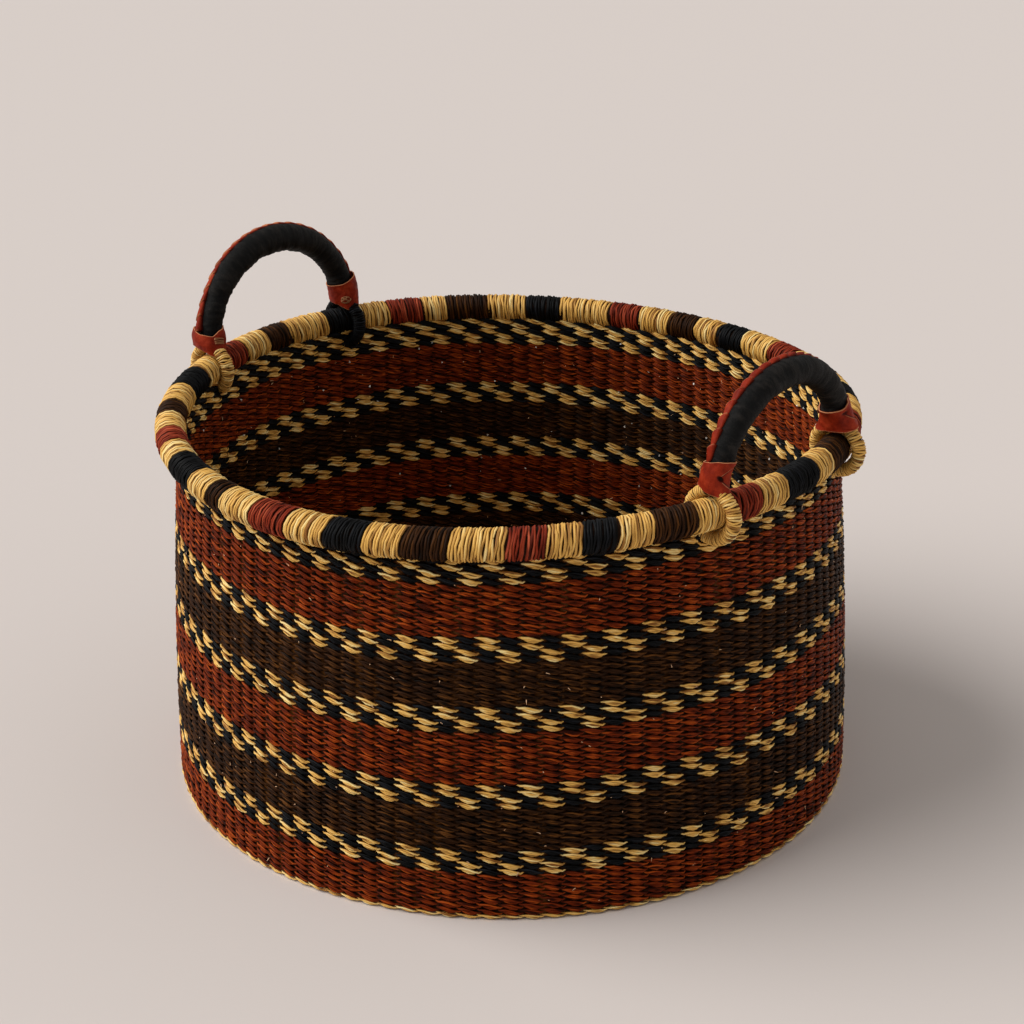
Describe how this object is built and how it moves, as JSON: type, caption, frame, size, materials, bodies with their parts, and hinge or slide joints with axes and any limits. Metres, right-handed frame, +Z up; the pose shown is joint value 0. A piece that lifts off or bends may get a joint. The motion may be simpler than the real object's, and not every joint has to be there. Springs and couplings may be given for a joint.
{
  "type": "woven basket",
  "caption": "Round upright basket of twined straw with banded colours, a straw-bound rim hoop, and leather-covered arch handles whose wound eyes swing on the rim.",
  "frame": {"origin": "centre of the underside of the base, on the surface that the basket stands on", "axes": "+Z up along the basket's axis; the handles stand over the rim at +X and -X"},
  "size_m": [0.4181, 0.419, 0.3026],
  "materials": {
    "natural_straw": "dry natural grass straw, satin, with fine fibres",
    "rust_straw": "grass straw dyed rust, satin",
    "brown_straw": "grass straw dyed dark brown, satin",
    "black_straw": "grass straw dyed black, satin",
    "check_straw": "rows of natural and black straw by turns",
    "grass_rope": "twisted dry grass, matt",
    "black_leather": "thin black leather with fine cross creases, low sheen",
    "red_leather": "thin red leather with pale cut edges, low sheen"
  },
  "bodies": {
    "basket": {"base_weave": "natural_straw", "base_edge_row": "natural_straw", "weft_check_1": "check_straw", "weft_rust_1": "rust_straw", "weft_check_2": "check_straw", "weft_brown_1": "brown_straw", "weft_check_3": "check_straw", "weft_rust_2": "rust_straw", "weft_check_4": "check_straw", "weft_brown_2": "brown_straw", "weft_check_5": "check_straw", "weft_rust_3": "rust_straw", "rim_hoop": "natural_straw", "rim_wrap_rust_1": "rust_straw", "rim_wrap_black_1": "black_straw", "rim_wrap_brown_1": "brown_straw", "rim_wrap_rust_2": "rust_straw", "rim_wrap_black_2": "black_straw", "rim_wrap_brown_2": "brown_straw", "rim_wrap_rust_3": "rust_straw", "rim_wrap_black_3": "black_straw", "rim_wrap_brown_3": "brown_straw", "rim_wrap_rust_4": "rust_straw", "rim_wrap_black_4": "black_straw", "rim_wrap_brown_4": "brown_straw", "rim_wrap_rust_5": "rust_straw", "rim_wrap_black_5": "black_straw", "rim_wrap_brown_5": "brown_straw", "rim_wrap_rust_6": "rust_straw", "rim_wrap_black_6": "black_straw", "rim_wrap_brown_6": "brown_straw", "rim_wrap_rust_7": "rust_straw", "rim_wrap_black_7": "black_straw", "rim_wrap_brown_7": "brown_straw", "rim_wrap_rust_8": "rust_straw", "rim_wrap_black_8": "black_straw", "rim_wrap_brown_8": "brown_straw", "rim_wrap_rust_9": "rust_straw", "rim_wrap_black_9": "black_straw", "rim_wrap_brown_9": "brown_straw"},
    "right_handle": {"right_handle_core": "grass_rope", "right_handle_cover": "black_leather", "right_handle_piping": "red_leather", "right_collar_front": "red_leather", "right_eye_winding_front": "natural_straw", "right_knot_front": "natural_straw", "right_collar_back": "red_leather", "right_eye_winding_back": "natural_straw", "right_knot_back": "natural_straw"},
    "left_handle": {"left_handle_core": "grass_rope", "left_handle_cover": "black_leather", "left_handle_piping": "red_leather", "left_collar_front": "red_leather", "left_eye_winding_front": "natural_straw", "left_knot_front": "natural_straw", "left_collar_back": "red_leather", "left_eye_winding_back": "black_straw", "left_knot_back": "natural_straw"}
  },
  "joints": [
    {"name": "right_handle_swing", "type": "hinge", "parent": "basket", "child": "right_handle", "pos_m": [0.19106, 0, 0.22523], "axis": [0, 1, 0], "range_deg": [-93, 137]},
    {"name": "left_handle_swing", "type": "hinge", "parent": "basket", "child": "left_handle", "pos_m": [-0.19106, 0, 0.22523], "axis": [0, -1, 0], "range_deg": [-96, 134]}
  ]
}
